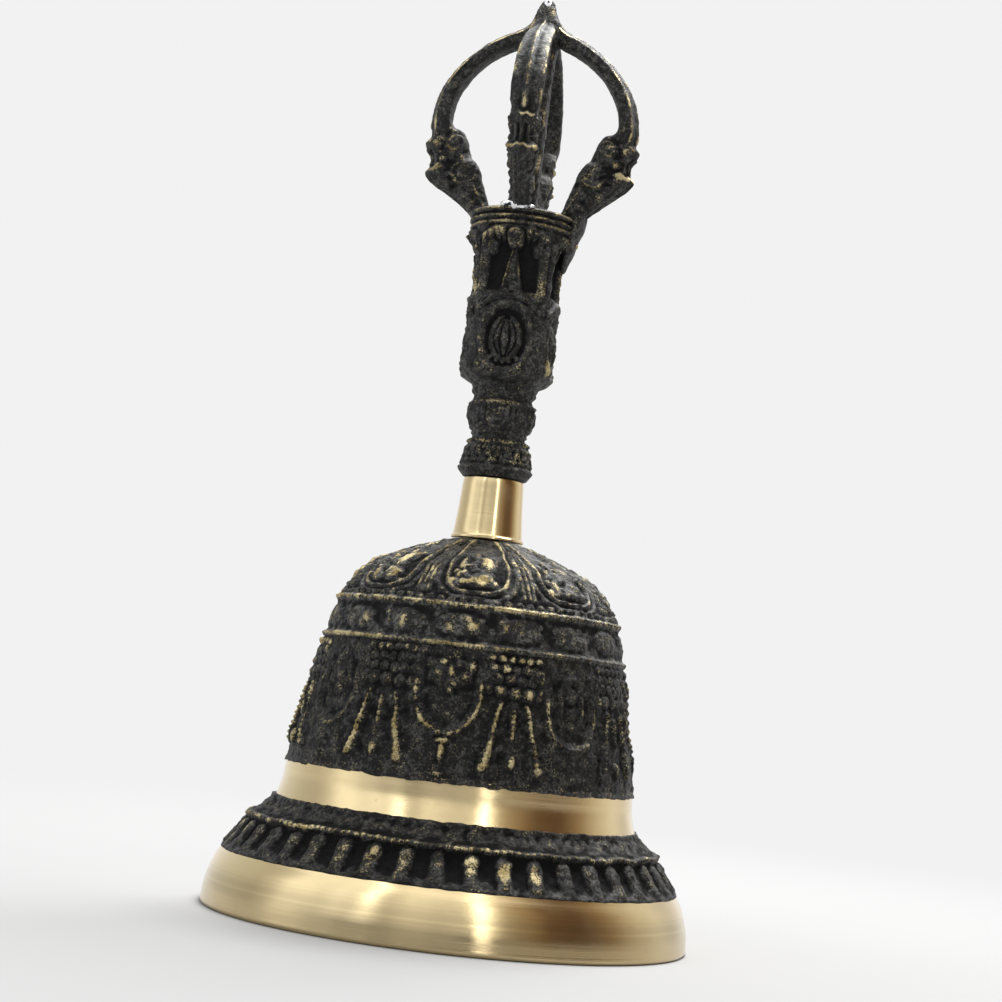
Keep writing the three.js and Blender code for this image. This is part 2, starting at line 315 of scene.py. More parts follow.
class Nodes:
    """A short way to add and join shader nodes. A kind is a node type without its ShaderNode prefix."""

    def __init__(self, tree):
        self.tree = tree
        tree.nodes.clear()

    def add(self, kind, sockets=None, **settings):
        node = self.tree.nodes.new("ShaderNode" + kind)
        for key, value in settings.items():
            setattr(node, key, value)
        for key, value in (sockets or {}).items():
            if isinstance(value, bpy.types.NodeSocket):
                self.tree.links.new(value, node.inputs[key])
            else:
                node.inputs[key].default_value = value
        return node

    def math(self, operation, a, b=0.0):
        return self.add("Math", {0: a, 1: b}, operation=operation).outputs[0]

    def plus(self, a, b):
        return self.math("ADD", a, b)

    def times(self, a, b):
        return self.math("MULTIPLY", a, b)

    def vector(self, operation, sockets):
        return self.add("VectorMath", sockets, operation=operation).outputs[0]

    def remap(self, value, low, high, to_low=0.0, to_high=1.0):
        sockets = {"Value": value, "From Min": low, "From Max": high, "To Min": to_low, "To Max": to_high}
        return self.add("MapRange", sockets, interpolation_type="SMOOTHSTEP").outputs["Result"]

    def noise(self, vector, scale, detail=3.0, roughness=0.55):
        sockets = {"Vector": vector, "Scale": scale, "Detail": detail, "Roughness": roughness}
        return self.add("TexNoise", sockets).outputs["Fac"]

    def mix(self, factor, a, b):
        node = self.add("Mix", data_type="RGBA")
        for index, value in ((0, factor), (6, a), (7, b)):
            if isinstance(value, bpy.types.NodeSocket):
                self.tree.links.new(value, node.inputs[index])
            else:
                node.inputs[index].default_value = value
        return node.outputs[2]

    def bump(self, height, strength, distance):
        sockets = {"Height": height, "Strength": strength, "Distance": distance}
        return self.add("Bump", sockets).outputs["Normal"]


def new_material(name):
    material = bpy.data.materials.new(name)
    material.use_nodes = True
    nodes = Nodes(material.node_tree)
    place = nodes.add("TexCoord").outputs["Object"]
    return material, nodes, place


def finish_material(nodes, sockets):
    shader = nodes.add("BsdfPrincipled", sockets)
    nodes.add("OutputMaterial", {"Surface": shader.outputs["BSDF"]})


def grey(value, blue=1.0):
    return (value, value, value * blue, 1)


def darker(colour, share):
    return tuple(share * channel for channel in colour[:3]) + (1,)


PALE_BRASS = (0.78, 0.62, 0.35, 1)
PALE_WORN_BRASS = (0.58, 0.50, 0.29, 1)
WORN_BRASS = (0.36, 0.28, 0.12, 1)


def cast_patina(name, soot_level=1.0, dust_level=1.0):
    """Blackened cast brass: bare metal where the attribute of wear and shade is high, and painted shade,
    darker than the soot, in the hollows where it is below zero.
    """
    material, nodes, place = new_material(name)
    wear_and_shade = nodes.add("Attribute", attribute_name="wear_and_shade").outputs["Fac"]
    fine = nodes.noise(place, 3000, 4, 0.7)
    broad = nodes.noise(place, 380, 3)
    scratched = nodes.plus(wear_and_shade, nodes.remap(fine, 0.3, 0.7, -0.6, 0.5))
    scratched = nodes.plus(scratched, nodes.remap(broad, 0.3, 0.7, -0.18, 0.18))
    bare = nodes.remap(scratched, 0.25, 0.95)
    # Painted shade: where the attribute is below zero the colour goes towards near black, and the metal gets
    # rougher.
    hollow = nodes.remap(wear_and_shade, -0.8, 0.1, 1.0, 0.0)
    clouds = nodes.remap(nodes.noise(place, 620, 2), 0.35, 0.65, -0.07, 0.07)
    mottled = nodes.plus(nodes.noise(place, 2100, 5, 0.75), clouds)
    dust = nodes.remap(mottled, 0.45, 0.70)
    sooty, dusty = grey(0.0065 * soot_level), grey(0.066 * dust_level, 0.95)
    black = nodes.mix(dust, sooty, dusty)
    black = nodes.mix(hollow, black, grey(0.0032 * soot_level))
    brass = nodes.mix(nodes.remap(broad, 0.35, 0.65), WORN_BRASS, PALE_WORN_BRASS)
    colour = nodes.mix(bare, black, brass)
    grainy = nodes.remap(fine, 0.2, 0.8, 0.42, 0.62)
    roughness = nodes.plus(nodes.times(hollow, 0.3), grainy)
    metallic = nodes.plus(nodes.times(bare, 0.5), 0.5)
    height = nodes.plus(fine, nodes.times(nodes.noise(place, 1300, 2), 1.2))
    finish_material(nodes, {
        "Base Color": colour,
        "Metallic": metallic,
        "Roughness": roughness,
        "Specular IOR Level": 0.3,
        "Normal": nodes.bump(height, 1.0, 0.0002),
    })
    return material


def highlight_braze_metal(name):
    """Silvery solder at the prongs, near-white polished metal: partly real braze, partly a painted highlight
    that stands in for glints of light.
    """
    material, nodes, place = new_material(name)
    fine = nodes.noise(place, 2400, 4, 0.6)
    soot = nodes.remap(nodes.noise(place, 1300, 3), 0.5, 0.62)
    finish_material(nodes, {
        "Base Color": nodes.mix(soot, (0.80, 0.80, 0.82, 1), (0.03, 0.03, 0.032, 1)),
        "Metallic": 1.0,
        "Roughness": nodes.remap(fine, 0.3, 0.7, 0.16, 0.34),
        "Normal": nodes.bump(fine, 0.6, 0.00012),
    })
    return material


def turned_brass(name, tint=PALE_BRASS, rough=0.09, stain=0.35, rim_shade=0.0):
    """Lathe-turned, polished brass with fine circular tool marks and faint stains.
    The last argument is how much darker the metal is painted near the rim, in lines that follow the tool
    marks: painted shade."""
    material, nodes, place = new_material(name)
    split = nodes.add("SeparateXYZ", {"Vector": place})
    across = nodes.times(split.outputs["X"], split.outputs["X"])
    across = nodes.plus(across, nodes.times(split.outputs["Y"], split.outputs["Y"]))
    radius = nodes.math("SQRT", across)
    height = split.outputs["Z"]
    lathe = nodes.add("CombineXYZ", {"X": radius, "Y": 0.0, "Z": height}).outputs[0]
    marks = nodes.noise(lathe, 5200, 3, 0.7)
    broad_marks = nodes.noise(lathe, 900, 2, 0.5)
    smear = nodes.noise(place, 75, 4, 0.6)
    spots = nodes.remap(nodes.noise(place, 700, 3), 0.66, 0.78)
    colour = nodes.mix(nodes.remap(smear, 0.4, 0.75, 0.0, stain), tint, darker(tint, 0.72))
    colour = nodes.mix(nodes.times(spots, 0.25), colour, (0.30, 0.20, 0.09, 1))
    lined_height = nodes.plus(height, nodes.remap(broad_marks, 0.3, 0.7, -0.0012, 0.0012))
    # Painted shade: the colour gets darker towards the rim, in rings that follow the tool marks.
    rim = nodes.remap(lined_height, 0.0042, 0.0078, rim_shade, 0.0)
    colour = nodes.mix(rim, colour, darker(tint, 0.5))
    smeared = nodes.remap(smear, 0.3, 0.7, rough, rough + 0.1)
    roughness = nodes.plus(smeared, nodes.times(marks, 0.06))
    marked = nodes.plus(marks, nodes.times(broad_marks, 1.4))
    tangent = nodes.add("Tangent", direction_type="RADIAL", axis="Z").outputs[0]
    finish_material(nodes, {
        "Base Color": colour,
        "Metallic": 1.0,
        "Roughness": roughness,
        "Anisotropic": 0.88,
        "Anisotropic Rotation": 0.25,
        "Tangent": tangent,
        "Normal": nodes.bump(marked, 0.45, 0.00003),
    })
    return material


def dark_iron(name):
    """Drawn and forged iron, darkened, with a little rust in the pits."""
    material, nodes, place = new_material(name)
    fine = nodes.noise(place, 1800, 5, 0.65)
    rust = nodes.remap(nodes.noise(place, 650, 4), 0.56, 0.72)
    steel = nodes.mix(fine, grey(0.10), (0.27, 0.255, 0.24, 1))
    finish_material(nodes, {
        "Base Color": nodes.mix(nodes.times(rust, 0.7), steel, (0.13, 0.055, 0.025, 1)),
        "Metallic": nodes.remap(rust, 0, 1, 0.9, 0.35),
        "Roughness": nodes.remap(fine, 0.3, 0.7, 0.36, 0.6),
        "Normal": nodes.bump(fine, 0.5, 0.0001),
    })
    return material


patina = cast_patina("cast_patina")
dome_patina = cast_patina("dome_patina", 2.4, 2.1)
handle_patina = cast_patina("handle_patina", 2.6, 1.6)
# The lip is painted darker towards the rim, as shade.
lip_brass = turned_brass("lip_brass", rim_shade=0.55)
bright_brass = turned_brass("turned_brass")
inner_brass = turned_brass("inner_brass", tint=(0.52, 0.38, 0.18, 1), rough=0.38, stain=0.8)
bob_brass = turned_brass("bob_brass", tint=(0.66, 0.50, 0.25, 1), rough=0.3, stain=0.6)
iron = dark_iron("dark_iron")
highlight_braze = highlight_braze_metal("highlight_braze")


# ---- the cup: inside and wall ----

LINER = 1.2                 # the liner's thickness; the outer pieces start behind it


def inside_profile(depth):
    """The cup's inner surface from the crown hole down to the rim, moved depth into the wall."""
    line = through([
        (3.0, 65.0), (8.0, 65.0), (15.0, 63.6), (19.8, 60.6), (22.6, 56.0), (24.7, 51.0), (26.3, 44.0),
        (28.0, 34.0), (29.2, 27.0), (29.4, 24.0), (30.6, 20.5), (33.0, 17.3), (36.6, 12.5), (39.4, 6.5),
        (40.6, 0.0),
    ], 90)
    ahead = tangents(line)
    moved = line + depth * np.stack([-ahead[:, 1], ahead[:, 0]], axis=1)
    moved[0, 0] = line[0, 0]
    moved[-1, 1] = line[-1, 1]
    return moved


def wall_back(low_z, high_z, count):
    """Points on the back of the wall's outer pieces, from high_z down to low_z."""
    line = inside_profile(LINER)[::-1]
    z = np.linspace(high_z, low_z, count)
    return np.stack([np.interp(z, line[:, 1], line[:, 0]), z], axis=1)


def cup_liner():
    front = inside_profile(0)
    back = inside_profile(LINER)[::-1]
    turned_ring("cup_liner", np.vstack([back, front]), 192, inner_brass, "bell_cup")


# ---- the cup: relief ----

def moved_out(profile, azimuth, height):
    """Rows of points: a profile turned round the axis, each point moved height along its normal."""
    ahead = tangents(profile)
    radius = profile[:, :1] + ahead[:, 1:] * height
    z = profile[:, 1:] - ahead[:, :1] * height
    return polar(radius, azimuth[None, :], z)


def warped(x, z, azimuth, radius, seed):
    """x and z shifted a little, so that repeats of a pattern differ as hand-made moulds do."""
    where = polar(radius, azimuth, z)
    return x + 0.28 * grain(where, 3.2, seed), z + 0.28 * grain(where, 3.2, seed + 1)


def dome_relief(azimuth, radius, climb):
    """Petals with a double outline and an emblem of lumps inside, and fine ribs between them."""
    azimuth = azimuth - PETAL_TURN
    x = arc_from(azimuth, UNIT, radius)
    x, climb = warped(x, climb, azimuth, radius, 201)
    turn = wrapped(azimuth - UNIT / 2, UNIT)
    inner = u_line(x, climb, radius * math.radians(14.5), 2.7, 6.0, 2.8)
    outer = u_line(x, climb, radius * math.radians(18.8), 1.5, 7.0, 2.8)
    petal = highest(ridge(inner, 0.42, 0.62), ridge(outer, 0.36, 0.42))
    spread = radius / 20
    across = x / spread
    field = smooth(3.9 * spread - np.abs(x), 0, 0.8) * between(climb, 3.4, 4.4, 12.5, 15)
    field = field * (0.45 + 0.5 * grain(polar(radius, azimuth, climb), 1.0, 203))
    emblem = highest(
        field,
        knobs(across, climb, (0.9, 5.9, 1.9, 2.0, 0.75), (1.3, 9.6, 1.3, 3.2, 0.85)) + 0.4 * field,
        knobs(across, climb, *[(at, 4.9, 0.85, 0.95, 0.75) for at in (-3.9, -2.4, -0.9)]),
        knobs(across, climb, *[(at, 7.4, 0.75, 0.9, 0.6) for at in (-3.6, -2.2)]),
        knobs(across, climb, (-0.9, 13.2, 0.8, 1.8, 0.7), (-2.9, 10.0, 0.6, 2.0, 0.65)),
    )
    slots = knobs(across, climb, (3.7, 8.6, 0.9, 4.3, 0.9), (-2.0, 12.6, 0.7, 2.0, 0.8))
    ribs = highest(*[ridge((turn - at) * np.radians(1) * radius, 0.4, 0.55) for at in (-2.4, 0, 2.4)])
    ribs = ribs * between(climb, 1.6, 2.6, 17.5, 20)
    foot = knob(arc_from(azimuth, 4.5, radius), climb, 0, 1.15, 0.8, 0.65, 0.5)
    return highest(petal, emblem, ribs, foot) - slots


def shoulder_relief(azimuth, radius, z):
    """Lying thunderbolts, like small rolled clouds, between the two rings."""
    x = arc_from(azimuth - 1, UNIT / 2, radius)
    x, z = warped(x, z, azimuth, radius, 211)
    middle = (LOWER_RING_Z + UPPER_RING_Z) / 2
    bar = 0.42 * smooth(1 - (np.abs(x) / 4.2) ** 2.5 - (np.abs(z - middle) / 2.3) ** 2.5, -0.1, 0.9)
    rolls = knobs(
        np.abs(x), z, (0, middle + 0.3, 1.2, 1.5, 0.52), (2.3, middle - 0.1, 1.4, 1.2, 0.48),
        (1.3, middle - 1.2, 0.8, 0.6, 0.42), (3.4, middle + 0.9, 0.8, 0.6, 0.4),
    )
    return highest(bar, rolls)


def mask_unit(x, z):
    """A stylised lion mask over a beaded garland with a tassel."""
    garland = u_line(x, z, 5.6, 35.0, 6.6)
    beads = 0.8 + 0.2 * np.cos(np.arctan2(z - 41.6, x) * 22)
    hung = ridge(garland, 0.45, 0.75) * beads * (1 - smooth(z, 43.5, 45.5))
    mask = highest(
        knobs(x, z, (0, 48.3, 1.7, 1.0, 0.75), (0, 45.4, 4.0, 2.9, 0.5), (0, 45.5, 0.75, 1.3, 1.2)),
        knobs(x, z, (0, 43.6, 1.5, 0.7, 0.85), (0.2, 42.2, 0.8, 0.9, 0.65)),
        knobs(np.abs(x), z, (3.6, 46.6, 0.9, 1.2, 0.75), (1.4, 46.8, 0.95, 0.8, 1.05)),
        knob(np.abs(x), z, 2.3, 44.9, 1.1, 0.9, 0.95),
    )
    tassel = knobs(x, z, (0, 33.7, 1.6, 0.7, 0.85), (0, 32.2, 0.65, 2.2, 0.8), (0, 28.2, 1.2, 0.8, 0.4))
    return highest(hung, mask, tassel) - 0.3 * smooth(-garland, 0.6, 1.6) * (1 - smooth(z, 47, 49))


def oval_unit(x, z):
    """A long oval boss inside a plain U-shaped line with a drop below."""
    frame_line = u_line(x, z, 5.2, 34.5, 6.0, 2.4)
    hung = ridge(frame_line, 0.36, 0.6) * (1 - smooth(z, 41.8, 43.2))
    oval = np.hypot(x / 2.4, (z - 41.4) / 5.0)
    boss = highest(
        ridge((oval - 1) * 2.4, 0.42, 0.6) * smooth(z, 38, 41),
        knobs(x, z, (0, 43.6, 1.5, 1.6, 0.55), (0.3, 40.4, 1.3, 1.1, 0.5), (0, 38.0, 1.0, 1.0, 0.45)),
    )
    drop = knobs(x, z, (0, 32.0, 0.8, 0.8, 0.7), (0, 29.6, 0.5, 2.6, 0.65))
    return highest(hung, boss, drop) - 0.3 * smooth(-frame_line, 0.6, 1.4) * (1 - smooth(z, 45.5, 48))


# Height, pitch and half-height of each row of scallops over a fan, in millimetres.
SCALLOP_ROWS = ((43.0, 2.6, 1.15), (45.2, 2.1, 1.0), (47.0, 1.9, 0.9), (48.6, 1.7, 0.7))


def fan_relief(x, z):
    """Three beaded strings that spread downwards, under rows of scallops and lumps."""
    fall = np.clip((42 - z) / 12, 0, 1.1)
    beads = 0.82 + 0.18 * np.cos(2 * np.pi * z / 0.95)
    width = 0.38 + 0.42 * fall**2
    line = np.abs(x) - (2.35 + 2.5 * fall**1.25)
    sides = ridge(line, width, 1.15) * beads * between(z, 29.2, 30.2, 40.6, 42.0)
    middle = ridge(x, 0.42, 1.05) * beads * between(z, 34.9, 35.6, 39.0, 41.5)
    ends = knobs(np.abs(x), z, (0, 31.2, 0.75, 1.5, 0.85), (5.0, 30.2, 0.9, 0.9, 0.75))
    rows = []
    for row, (level, pitch, size) in enumerate(SCALLOP_ROWS):
        along = (x + pitch * (0.5 * row + 0.5)) % pitch - pitch / 2
        bulge = 0.48 + 0.14 * math.cos(row * 2.1)
        shown = 1 - smooth(np.abs(x), 4.6, 6.0)
        rows.append(knob(along, z, 0, level, 0.5 * pitch, size, bulge) * shown)
    return highest(sides, middle, ends, *rows)


def frieze_relief(azimuth, radius, z):
    even = np.round(azimuth / UNIT).astype(int) % 2 == 0
    x = arc_from(azimuth, UNIT, radius)
    unit = warped(x, z, azimuth, radius, 221)
    units = np.where(even, mask_unit(*unit), oval_unit(*unit))
    fan_x = arc_from(azimuth - UNIT / 2, UNIT, radius)
    fans = fan_relief(*warped(fan_x, z, azimuth, radius, 221))
    uneven = 0.85 + 0.3 * grain(polar(radius, azimuth, z), 4.5, 223)
    return np.where(fans > 0.12, highest(units, fans), units) * uneven


def cast_ring(name, outline, back, columns, relief, material, seeds, low_z, low, high, reach):
    """A ring of the cup's wall with cast relief outside. Its lower edge at low_z is left ragged.
    low and high are how far metal must stand proud of the blurred relief round it, reach points each
    way, for its patina to start and to finish wearing off."""
    azimuth = all_round(columns)
    a, r, z = np.broadcast_arrays(azimuth[None, :], outline[:, :1], outline[:, 1:])
    plain = polar(r, a, z)
    shape = relief(a, r, z)
    rough = cast_grain(plain, seeds) + 0.12 * grain(plain, 1.4, seeds + 5)
    height = shape + rough
    wear_and_shade = shaded_side(rubbed(shape + 0.6 * rough, plain, seeds + 10, reach, low, high), a)
    clear_of_edge = smooth(z, low_z, low_z + 1.3)
    sunk = (height - 0.35) * smooth(r, FERRULE_FOOT_RADIUS, FERRULE_FOOT_RADIUS + 2.2)
    outer = moved_out(outline, azimuth, sunk * clear_of_edge + 0.14 * (1 - clear_of_edge))
    ragged = 0.28 * grain(plain[0], 1.6, seeds + 20) + 0.15 * grain(plain[0], 0.7, seeds + 21)
    outer[..., 2] += ragged[None, :] * (1 - smooth(z, low_z, low_z + 1.6))
    parts = [skin(np.concatenate([outer, turned(back, columns)]), wrap_rows=True)]
    shell_object(name, parts, material, ["bell_cup"], wear_and_shade)


def cup_frieze():
    """The dark cast part from the turned band up to the lower of the two rings."""
    outline = through([
        (32.0, BAND_HIGH_Z), (31.75, 29.5), (31.1, 33.5), (30.2, 37.8), (29.5, 42.0), (28.9, 45.5),
        (28.1, 49.0), (27.75, LOWER_RING_Z + 0.35),
    ], 96)
    back = wall_back(BAND_HIGH_Z, outline[-1, 1], 8)
    cast_ring("cup_frieze", outline, back, 720, frieze_relief, patina, 11, BAND_HIGH_Z, 0.09, 0.5, 6)


def cup_dome():
    """The dark cast part from the lower ring over the shoulder band and the petals to the crown."""
    low_z = LOWER_RING_Z - 0.55
    outline = through([
        (27.95, low_z), (27.3, 52.0), (26.5, 55.0), (25.8, 57.3), (25.0, 58.9), (23.7, 60.7), (22.4, 62.2),
        (20.5, 63.9), (18.6, 65.1), (16.8, 66.0), (14.0, 67.3), (11.0, 68.4), (8.5, 69.4),
        (FERRULE_FOOT_RADIUS, CROWN_Z),
    ], 104)
    run = np.concatenate([[0], np.cumsum(np.linalg.norm(np.diff(outline, axis=0), axis=1))])
    climb = (run - np.interp(UPPER_RING_Z, outline[:, 1], run))[:, None]

    def relief(azimuth, radius, z):
        corded = 0.88 + 0.12 * np.cos(np.radians(azimuth) * 190)
        band = shoulder_relief(azimuth, radius, z)
        dome = dome_relief(azimuth, radius, climb + 0 * radius)
        rings = highest(
            ridge(z - LOWER_RING_Z, 0.45, 0.7) * corded,
            ridge(z - UPPER_RING_Z, 0.55, 0.9) * corded,
        )
        return highest(np.where(z < UPPER_RING_Z, band, dome), rings)

    inner_line = inside_profile(LINER)
    kept = inner_line[inner_line[:, 1] > low_z + 0.5][::3]
    back = np.vstack([(3.2, CROWN_Z), (3.2, kept[0, 1]), kept, wall_back(low_z, low_z, 1)])
    cast_ring("cup_dome", outline, back, 600, relief, dome_patina, 131, low_z - 2, 0.05, 0.38, 9)


def cup_flutes():
    """The dark cast ring with flutes, a corded moulding and a rough slope, over the turned lip."""
    outline = np.vstack([
        through([(41.6, LIP_TOP_Z - 0.25), (41.3, 10.7), (39.4, 13.1), (37.6, 15.7)], 26),
        through([(37.5, 15.9), (37.35, CORD_Z), (36.9, 17.1)], 9),
        through([(36.6, 17.3), (34.9, 18.5), (33.8, 19.8), (33.3, BAND_LOW_Z + 0.25)], 18),
    ])
    azimuth = all_round(FLUTE_COUNT * 16)
    a, r, z = np.broadcast_arrays(azimuth[None, :], outline[:, :1], outline[:, 1:])
    x = arc_from(a - 180 / FLUTE_COUNT, 360 / FLUTE_COUNT, r)
    x, warped_z = warped(x, z, a, r, 231)
    rib = highest(
        0.52 * (1 - smooth(np.abs(x), 0.9, 1.6)) * (1 - smooth(warped_z, 15.0, 15.7)),
        knob(x, warped_z, 0, 14.4, 1.6, 1.5, 0.68),
    ) * smooth(z, 10.3, 11.0)
    groove = -0.4 * between(z, 10.9, 12.2, 15.0, 15.9) * smooth(np.abs(x), 1.2, 1.9)
    corded = 0.86 + 0.14 * np.cos(np.radians(a) * FLUTE_COUNT * 4)
    cord = ridge(warped_z - CORD_Z, 0.55, 0.8) * corded
    lumps = knob(arc_from(a, 360 / 120, r), warped_z, 0, 18.7, 0.85, 0.75, 0.22)
    plain = polar(r, a, z)
    coarse = 0.22 * grain(plain, 1.6, 44) * smooth(z, 17, 17.6) + 0.16 * grain(plain, 1.3, 45)
    height = highest(rib, cord, lumps, ridge(z - BAND_LOW_Z, 0.35, 0.3)) + groove
    height = height + cast_grain(plain, 41) + coarse
    handled = smooth(np.cos(np.radians(a - HANDLED_AZIMUTH)), 0.80, 0.97)
    worn_height = height + 1.1 * cord + knob(x, warped_z, 0, 14.0, 1.3, 2.2, 0.22 + 0.55 * handled)
    wear_and_shade = shaded_side(rubbed(worn_height, plain, 47, low=0.12, high=0.7), a)
    kept_dark = np.clip(smooth(grain(plain, 4.5, 53), -0.4, 0.2) - 0.9 * handled, 0, 1)
    wear_and_shade = np.where(wear_and_shade > 0, wear_and_shade * (1 - 0.85 * kept_dark * (1 - smooth(z, 15.1, 15.8))), wear_and_shade)
    height = (height - 0.3) * smooth(z, LIP_TOP_Z, LIP_TOP_Z + 0.9)
    outer = moved_out(outline, azimuth, height)
    ragged = 0.16 * grain(plain[0], 1.8, 51)
    outer[..., 2] += ragged[None, :] * (1 - smooth(z, 10.2, 11.4))
    back = turned(wall_back(LIP_TOP_Z, BAND_LOW_Z, 4), len(azimuth))
    parts = [skin(np.concatenate([outer, back]), wrap_rows=True)]
    shell_object("cup_flutes", parts, patina, ["bell_cup"], wear_and_shade)


def cup_band():
    front = through([
        (33.2, BAND_LOW_Z - 0.9), (32.55, 21.6), (32.05, 23.6), (31.9, 25.4), (31.75, BAND_HIGH_Z + 0.7),
    ], 28)
    profile = np.vstack([front, wall_back(front[0, 1], front[-1, 1], 4)])
    turned_ring("cup_band", profile, 288, bright_brass, "bell_cup")


def cup_lip():
    front = np.vstack([
        (RIM_RADIUS - 0.5, 0.0), (RIM_RADIUS - 0.18, 0.1), (RIM_RADIUS, 0.45),
        through([(RIM_RADIUS, 0.7), (43.85, 4.0), (42.7, 7.8), (41.5, LIP_TOP_Z - 0.2)], 30),
        (40.0, LIP_TOP_Z + 0.1),
    ])
    profile = np.vstack([front, wall_back(0, front[-1, 1], 5)])
    turned_ring("cup_lip", profile, 288, lip_brass, "bell_cup")


# ---- ferrule ----

def neck_ferrule():
    foot, low, high = FERRULE_FOOT_RADIUS, FERRULE_LOW_Z, FERRULE_HIGH_Z
    outside = np.vstack([
        (foot - 0.15, low), (foot, low + 0.15), (foot, low + 0.5),
        through([(foot - 0.12, low + 0.62), (6.5, low + 0.9), (6.38, low + 1.6)], 6),
        through([(6.35, low + 1.9), (6.0, 76), (5.65, high - 0.2)], 14),
        (5.55, high),
    ])
    bore = [(3.0, high), (3.0, low)]
    turned_ring("neck", np.vstack([outside, bore]), 160, bright_brass, "neck_ferrule")


# ---- grip ----

def grip_sections():
    """(z, half-width, squareness): 2 is a round section and 3 a soft square."""
    return np.array([
        (82.0, 5.9, 2), (82.4, 6.45, 2), (83.0, 6.8, 2), (83.7, 6.85, 2), (84.4, 6.6, 2), (85.6, 6.3, 2),
        (87.4, 6.05, 2), (88.1, 5.9, 2), (88.9, 5.7, 2), (89.4, 4.95, 2), (90.3, 5.0, 2), (91.4, 5.75, 2),
        (92.8, 6.25, 2), (94.2, 6.4, 2), (95.4, 6.25, 2), (96.3, 5.75, 2), (97.0, 5.5, 2), (98.2, 5.9, 2),
        (99.0, 6.0, 2), (99.6, 6.6, 2.2), (100.1, 7.7, 2.5), (101.0, 8.4, 2.7), (102.6, 8.6, 2.8),
        (104.2, 8.4, 2.9), (107, 8.2, 3), (112, 8.15, 3), (117, 8.2, 3), (121, 8.35, 2.8), (124, 8.8, 2.5),
        (126.5, 9.35, 2.2), (128.0, 9.6, 2), (131.3, 9.7, 2),
    ])


def grip_face(x, z):
    """What one of the four faces carries: a niche with a knob and a leaf, and a framed bud."""
    arch = 115.4 - x * x / 13
    niche_edge = 5.7 - 0.10 * (z - 120) * (z > 120)
    niche = -1.35 * between(z, 115.6, 116.8, 125.2, 127.4)
    niche = niche * (1 - smooth(np.abs(x), niche_edge - 0.9, niche_edge + 0.3))
    leaf_x = np.abs(x) - (0.2 + (124.0 - z) * 0.22)
    leaf_shown = between(z, 115.6, 116.6, 123.6, 124.6)
    leaf = highest(ridge(leaf_x, 0.45, 1.5), 1.0 * smooth(-leaf_x, -0.1, 0.3)) * leaf_shown
    head = knob(x, z, 0, 125.7, 1.9, 2.2, 1.9) - knob(x, z, -0.2, 125.8, 1.1, 1.3, 0.45)
    fringe = [(2.5 + 1.2 * step, 126.6 - 0.5 * (step % 2), 0.7, 1.7 - 0.2 * step, 0.75) for step in range(4)]
    hung = knobs(np.abs(x), z, *fringe, (4.5, 124.2, 1.0, 1.9, 0.9))
    swag = ridge(z - (127.9 - 0.03 * x * x), 0.4, 0.55) * (np.abs(x) < 6.4)
    pillar = ridge(np.abs(x) - 6.6, 0.5, 0.45) * between(z, 115.5, 116.5, 125, 127)
    arch_line = highest(ridge(z - arch, 0.5, 0.7), ridge(z - arch + 1.3, 0.3, 0.35)) * (np.abs(x) < 6.4)
    oval = (np.hypot(x / 5.1, (z - 107.4) / 6.6) - 1) * 5.1
    beads = 0.85 + 0.15 * np.cos(np.arctan2(z - 107.4, x * 1.3) * 30)
    frame_line = ridge(oval, 0.45, 0.45) * beads
    hollow = -0.8 * smooth(-oval, 0.4, 1.3)
    climb = (z - 103.6) / 8.2
    inside = between(climb, -0.02, 0.04, 0.97, 1.03)
    bulge = np.sin(np.pi * np.clip(climb, 0, 1) ** 0.8)
    bud = knob(x, z, 0, 107.2, 3.6, 4.6, 1.5)
    for share in (0.9, 2.1):
        bud = bud - 0.55 * ridge(np.abs(x) - share * bulge, 0.22, 1.0) * inside
    pearls = [(step * 1.3, 103.0 + 0.16 * step * step, 0.62, 0.62, 0.75) for step in (0, 1, 2)]
    raised = highest(leaf, head, hung, swag, pillar, arch_line, frame_line, bud, knobs(np.abs(x), z, *pearls))
    return raised + niche + hollow


# Level, width and height of the plain rings on the grip, in millimetres.
GRIP_RINGS = (
    (83.6, 0.35, 0.35), (90.2, 0.28, 0.35), (95.7, 0.35, 0.4),
    (128.7, 0.34, 0.5), (129.9, 0.34, 0.6), (131.2, 0.40, 0.8),
)


def grip_rings(azimuth, radius, z):
    """The turned and beaded details below and above the squared body."""
    def beads(count, centre, height, size, shift=0.0):
        x = arc_from(azimuth - shift, 360 / count, radius)
        return knob(x, z, 0, centre, size, size, height)

    zigzag_x = arc_from(azimuth, 18, radius)
    slant = ridge((np.abs(zigzag_x) - (z - 84.4) * 0.32) * 0.95, 0.26, 0.42) * (z > 84.3) * (z < 87.6)
    gadroons = 0.28 * np.abs(np.cos(np.radians(azimuth) * 9))
    gadroons = gadroons * between(z, 97.0, 97.6, 99, 99.5)
    petal_x = arc_from(azimuth, 45, radius)
    petals = ridge(u_line(petal_x, z, 1.95, 90.9, 2.4), 0.3, 0.42)
    petals = petals * between(z, 90.5, 91, 95.0, 95.6)
    return highest(
        beads(40, 87.2, 0.42, 0.45),
        beads(40, 84.8, 0.42, 0.45, 4.5),
        beads(20, 86.0, 0.45, 0.5, 9),
        slant,
        beads(36, 88.7, 0.4, 0.42),
        petals,
        gadroons,
        *[ridge(z - level, width, height) for level, width, height in GRIP_RINGS],
    )


